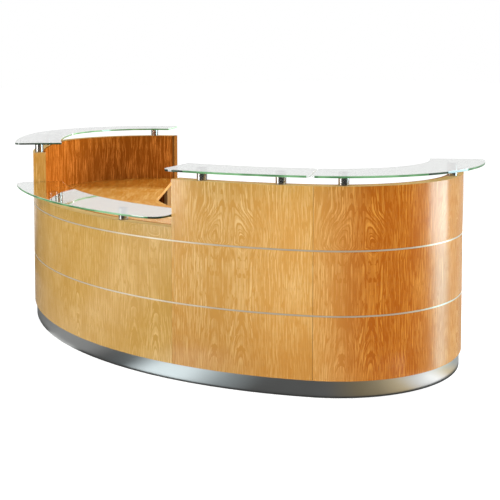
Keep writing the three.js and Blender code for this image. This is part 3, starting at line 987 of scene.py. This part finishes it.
# Runs along a whole wing, worktops and gables
def add_plinth(label, run, end=None):
    bm = new_mesh()
    sweep(bm, run, rounded(rectangle(PLINTH_RECESS, PLINTH_INNER, 0, PLINTH_TOP), METAL_EDGE))
    if end:
        back = shorten(end, length_of(end) - PLINTH_RECESS - PLINTH_SHEET, PLINTH_RECESS)
        sweep(bm, [back], rounded(rectangle(PLINTH_INNER, CORE_INNER, 0, PLINTH_TOP), METAL_EDGE))
    add_piece(bm, f"{label}_plinth", [plinth_steel])


def add_trims(label, run):
    for level, (low, high) in zip(("lower", "upper"), TRIM_LEVELS):
        bm = new_mesh()
        strip = rectangle(-TRIM_PROUD, TRIM_DEPTH, low + TRIM_SHADOW_GAP, high - TRIM_SHADOW_GAP)
        sweep(bm, run, rounded(strip, METAL_EDGE))
        add_piece(bm, f"{label}_{level}_trim", [trim_aluminium])


def add_low_worktop(arc):
    bm = new_mesh()
    outline = rectangle(WORKTOP_OUTER, WORKTOP_INNER, WORKTOP_BOTTOM, WORKTOP_TOP)
    sweep(bm, [arc], rounded(outline, WORKTOP_EDGE))
    add_piece(bm, "low_worktop", [worktop_oak])


def wing_chord(run):
    side, end = run
    return point_on(side, side.start, WORKTOP_INNER), point_on(end, end.stop, WORKTOP_OUTER)


def add_wing_worktop(label, run):
    start, finish = wing_chord(run)
    side, end = run
    plan = [start] + arc_points(side, WORKTOP_OUTER) + arc_points(end, WORKTOP_OUTER)[1:]
    along = finish - start
    bm = new_mesh()
    grain = math.atan2(along.y, along.x)
    slab(bm, plan, WORKTOP_BOTTOM, WORKTOP_TOP, WORKTOP_EDGE, grain, lambda place: SIDE_SLOT)
    add_piece(bm, f"{label}_worktop", [wing_worktop_oak, worktop_edge_oak])


def add_gable(node, inner, outer):
    along = (outer - inner).normalized()
    half = Vector((-along.y, along.x)) * (GABLE / 2)
    plan = rounded([inner - half, outer - half, outer + half, inner + half], PANEL_CORNER)
    bm = new_mesh()
    slab(bm, plan, 0, WORKTOP_BOTTOM, OAK_EDGE)
    add_piece(bm, node, [gable_oak])


def add_gables(label, run):
    side = side_arc(SIDES[label])
    inner = point_on(side, side.start, WORKTOP_INNER - GABLE_SETBACK)
    add_gable(f"{label}_joint_gable", inner, point_on(side, side.start, WORKTOP_OUTER))
    start, finish = wing_chord(run)
    along = (finish - start).normalized()
    under = Vector((along.y, -along.x)) * SIDES[label]
    outer = finish - along * CHORD_GABLE_CLEARANCE + under * (CHORD_GABLE_SETBACK + GABLE / 2)
    add_gable(f"{label}_chord_gable", outer - along * CHORD_GABLE_LENGTH, outer)


def add_wing(label):
    side = shorten(side_arc(SIDES[label]), UNIT_GAP / 2, 0)
    end = end_arc(SIDES[label])
    add_trims(label, [side, end])
    add_plinth(label, [side_arc(SIDES[label]), shorten(end, 0, PLINTH_RECESS)], end)
    add_wing_worktop(label, [side, end])
    add_gables(label, [side, end])


for unit in units():
    add_fascia(unit)
    add_lining(unit)
    add_capping(unit)
    add_glass(unit)
    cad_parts[f"{unit.name}_frame"].data.materials[0] = frame_softwood
    for number in STANDOFF_NUMBERS:
        add_standoff(f"{unit.name}_standoff_{number}", unit.top)
    if unit.name == "low":
        add_trims("low", [unit.arc])
        add_plinth("low", [front_arc(-STEP_ANGLE, STEP_ANGLE)])
        add_low_worktop(unit.arc)
for label in SIDES:
    add_wing(label)
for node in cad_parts:
    if "_foot" in node:
        add_foot(node)


# Studio: a white floor and background, soft lamps, and strip lamps and cards that only mirrors see
FLOOR_REACH = 40.0
FLOOR_ALBEDO = 0.65
FLOOR_GLOW = 0.60
SKY_LIGHT = 0.73
BACKDROP_LIGHT = 1.0
COVE_LIFT = 0.001
PLINTH_CARD_LIFT = 0.002
GLARE_LIFT = 0.003
COVE_REACH = (0.5, 9.0)
COVE_HEIGHT = 10.0
COVE_STEP = 2
PLAIN = (1.0, 1.0, 1.0)
COOL = (0.90, 1.0, 1.04)
WARM = (1.0, 0.80, 0.50)
DAYLIGHT = (0.66, 0.95, 1.07)
GLARE = (0.44, 0.92, 1.10)

# Glow of the cards by angle, as (angle, brightness, tint)
COVE_SHADE = (
    (-180, 0.45, PLAIN), (-162, 0.45, PLAIN), (-152, 0.85, PLAIN), (-98, 0.85, PLAIN), (-88, 0.10, PLAIN),
    (-32, 0.10, PLAIN), (-24, 0.8, PLAIN), (-4, 0.8, PLAIN), (6, 0.08, PLAIN), (112, 0.05, PLAIN),
    (122, 0.5, PLAIN), (146, 0.5, PLAIN), (154, 0.45, PLAIN), (180, 0.45, PLAIN),
)
PLINTH_CARD_REACH = (0.01, 0.60)
PLINTH_SHADE = (
    (-140, 0.3, PLAIN), (-23, 0.22, PLAIN), (-8, 0.45, PLAIN), (2, 0.40, PLAIN), (7, 0.15, PLAIN),
    (12, 0.20, COOL), (17, 1.6, COOL), (22, 1.6, COOL), (28, 0.55, COOL), (34, 0.14, PLAIN),
    (48, 0.17, PLAIN), (62, 0.30, WARM), (72, 0.45, WARM), (84, 0.9, WARM), (94, 1.3, PLAIN),
    (104, 2.0, PLAIN), (116, 1.2, WARM), (130, 0.6, PLAIN), (140, 0.6, PLAIN),
)

# Glow that the drum end mirrors below the right strip, by the angle of the mirroring face
NEAR_GLARE_REACH = (0.29, 1.68)
NEAR_GLARE = (
    (80, 0.1, PLAIN), (88, 0.1, GLARE), (91.5, 0.2, GLARE), (94.5, 1.0, GLARE), (97, 2.7, GLARE),
    (100, 3.4, GLARE), (103, 2.1, GLARE), (106, 0.9, GLARE), (109, 0.35, PLAIN), (128, 0.30, PLAIN),
)
FAR_GLARE_REACH = (1.68, 3.72)
FAR_GLARE = (
    (80, 0.1, PLAIN), (88, 0.1, GLARE), (91.5, 0.3, GLARE), (94.5, 2.0, GLARE), (97, 4.2, GLARE),
    (100, 5.0, GLARE), (103, 3.4, GLARE), (106, 1.2, GLARE), (109, 0.50, PLAIN), (128, 0.45, PLAIN),
)

# Rectangular lamps, with their power in watts; those for gloss only light no matt surface
Lamp = namedtuple("Lamp", "name place aim size power colour only_gloss", defaults=[PLAIN, False])
LAMPS = (
    Lamp("key", (-0.5, -5.3, 4.2), (0, 0, 0.6), (3.0, 3.0), 178),
    Lamp("fill", (5.3, 1.4, 3.0), (1.0, 0, 0.6), (2.0, 2.0), 72),
    Lamp("side light", (-0.2, 4.7, 1.7), (-1.4, 0, 0.8), (1.6, 1.2), 318),
    Lamp("left strip", (-0.61, -5.46, 1.55), (0.85, -0.68, 1.55), (1.4, 3.0), 70, only_gloss=True),
    Lamp("right strip", (3.435, 3.83, 1.75), (1.73, 0.43, 1.75), (1.75, 3.5), 121, DAYLIGHT,
         only_gloss=True),
)


def add_stage(name, mesh, material):
    mesh.materials.append(material)
    piece = bpy.data.objects.new(name, mesh)
    bpy.context.scene.collection.objects.link(piece)
    return piece


def add_floor():
    shader = Shader("pale floor")
    shader.set(base_color=opaque([FLOOR_ALBEDO * channel for channel in PLAIN]), roughness=1.0)
    shader.set(specular_ior_level=0.0, emission_color=opaque(PLAIN))
    shader.set(emission_strength=shader.math("MULTIPLY", shader.seen(), FLOOR_GLOW))
    mesh = bpy.data.meshes.new("floor")
    corners = [(x * FLOOR_REACH, y * FLOOR_REACH, 0) for x, y in ((-1, -1), (1, -1), (1, 1), (-1, 1))]
    mesh.from_pydata(corners, [], [range(len(corners))])
    add_stage("floor", mesh, shader.material)


def card_material(name, shades):
    """Glow by the first unrolled coordinate, from (share, colour) shades."""
    material = bpy.data.materials.new(name)
    material.use_nodes = True
    wiring = Wiring(material.node_tree)
    ramp = wiring.node("ValToRGB")
    stops = ramp.color_ramp.elements
    while len(stops) < len(shades):
        stops.new(1.0)
    for stop, (place, colour) in zip(stops, shades):
        stop.position = place
        stop.color = opaque(colour)
    wiring.feed(ramp.inputs[0], wiring.unrolled()[0])
    glow = wiring.node("Emission")
    wiring.feed(glow.inputs["Color"], ramp.outputs[0])
    wiring.feed(wiring.tree.nodes["Material Output"].inputs["Surface"], glow.outputs[0])
    return material


def add_card(name, rows, shade):
    """A card on rows of (angle, points) that only mirrors see."""
    first, last = shade[0][0], shade[-1][0]

    def share(angle):
        return (angle - first) / (last - first)

    bm = new_mesh()
    placed = [(share(angle), [bm.verts.new(point) for point in points]) for angle, points in rows]
    for (near, row), (far, following) in zip(placed, placed[1:]):
        for corners in zip(row, row[1:], following[1:], following):
            lay(bm, bm.faces.new(corners), [(near, 0), (near, 1), (far, 1), (far, 0)])
    mesh = bpy.data.meshes.new(name)
    bm.to_mesh(mesh)
    bm.free()
    shades = [(share(angle), [glow * channel for channel in tint]) for angle, glow, tint in shade]
    card = add_stage(name, mesh, card_material(name, shades))
    for kind in ("camera", "diffuse", "transmission", "volume_scatter", "shadow"):
        setattr(card, f"visible_{kind}", False)


def add_cove():
    inner, outer = COVE_REACH
    rows = []
    for angle in range(COVE_SHADE[0][0], COVE_SHADE[-1][0] + 1, COVE_STEP):
        profile = ((inner, COVE_LIFT), (outer, COVE_LIFT), (outer, COVE_HEIGHT))
        rows.append((angle, [(*toward(angle) * reach, height) for reach, height in profile]))
    add_card("dark cove", rows, COVE_SHADE)


def add_plinth_card():
    far_end = end_arc(SIDES["left"])
    run = [far_end._replace(start=far_end.stop, stop=far_end.start)]
    run += [front_arc(-SEAM_ANGLE, SEAM_ANGLE), end_arc(SIDES["right"])]
    rows = []
    for arc, angle, _ in stations(run):
        places = [point_on(arc, angle, -reach) for reach in PLINTH_CARD_REACH]
        rows.append((angle, [(*place, PLINTH_CARD_LIFT) for place in places]))
    add_card("plinth card", rows, PLINTH_SHADE)


def add_glare_card(name, reach, shade):
    """A card on the floor along the lines on which the drum end mirrors the camera's sight."""
    drum = end_arc(SIDES["right"])
    eye = FRONT_CENTRE + Vector(CAMERA_FROM_FRONT_CENTRE[:2])
    rows = []
    for angle in range(shade[0][0], shade[-1][0] + 1):
        face = point_on(drum, angle, 0)
        mirrored = (face - eye).normalized().reflect(toward(angle))
        rows.append((angle, [(*face + mirrored * distance, GLARE_LIFT) for distance in reach]))
    add_card(name, rows, shade)


def add_world():
    world = bpy.data.worlds.new("studio")
    bpy.context.scene.world = world
    world.use_nodes = True
    wiring = Wiring(world.node_tree)
    lighting = world.node_tree.nodes["Background"]
    backdrop = wiring.node("Background")
    for background, strength in ((lighting, SKY_LIGHT), (backdrop, BACKDROP_LIGHT)):
        background.inputs["Color"].default_value = opaque(PLAIN)
        background.inputs["Strength"].default_value = strength
    surface = wiring.choose(wiring.seen(), lighting.outputs[0], backdrop.outputs[0])
    wiring.feed(world.node_tree.nodes["World Output"].inputs["Surface"], surface)


def add_lamp(lamp):
    light = bpy.data.lights.new(lamp.name, "AREA")
    light.shape = "RECTANGLE"
    light.size, light.size_y = lamp.size
    light.energy = lamp.power
    light.color = lamp.colour
    holder = bpy.data.objects.new(lamp.name, light)
    holder.location = lamp.place
    holder.rotation_mode = "QUATERNION"
    holder.rotation_quaternion = (Vector(lamp.aim) - Vector(lamp.place)).to_track_quat("-Z", "Y")
    holder.visible_camera = False
    holder.visible_diffuse = not lamp.only_gloss
    holder.visible_glossy = lamp.only_gloss
    bpy.context.scene.collection.objects.link(holder)


def add_camera():
    data = bpy.data.cameras.new("photograph")
    data.lens = CAMERA_LENS
    data.shift_y = CAMERA_SHIFT
    camera = bpy.data.objects.new("photograph", data)
    camera.location = FRONT_CENTRE.to_3d() + Vector(CAMERA_FROM_FRONT_CENTRE)
    camera.rotation_euler = (math.radians(90 - CAMERA_PITCH), 0, math.radians(CAMERA_AZIMUTH))
    bpy.context.scene.collection.objects.link(camera)
    bpy.context.scene.camera = camera


add_floor()
add_cove()
add_plinth_card()
add_glare_card("near glare", NEAR_GLARE_REACH, NEAR_GLARE)
add_glare_card("far glare", FAR_GLARE_REACH, FAR_GLARE)
add_world()
for lamp in LAMPS:
    add_lamp(lamp)
add_camera()
bpy.context.scene.view_settings.view_transform = "Standard"
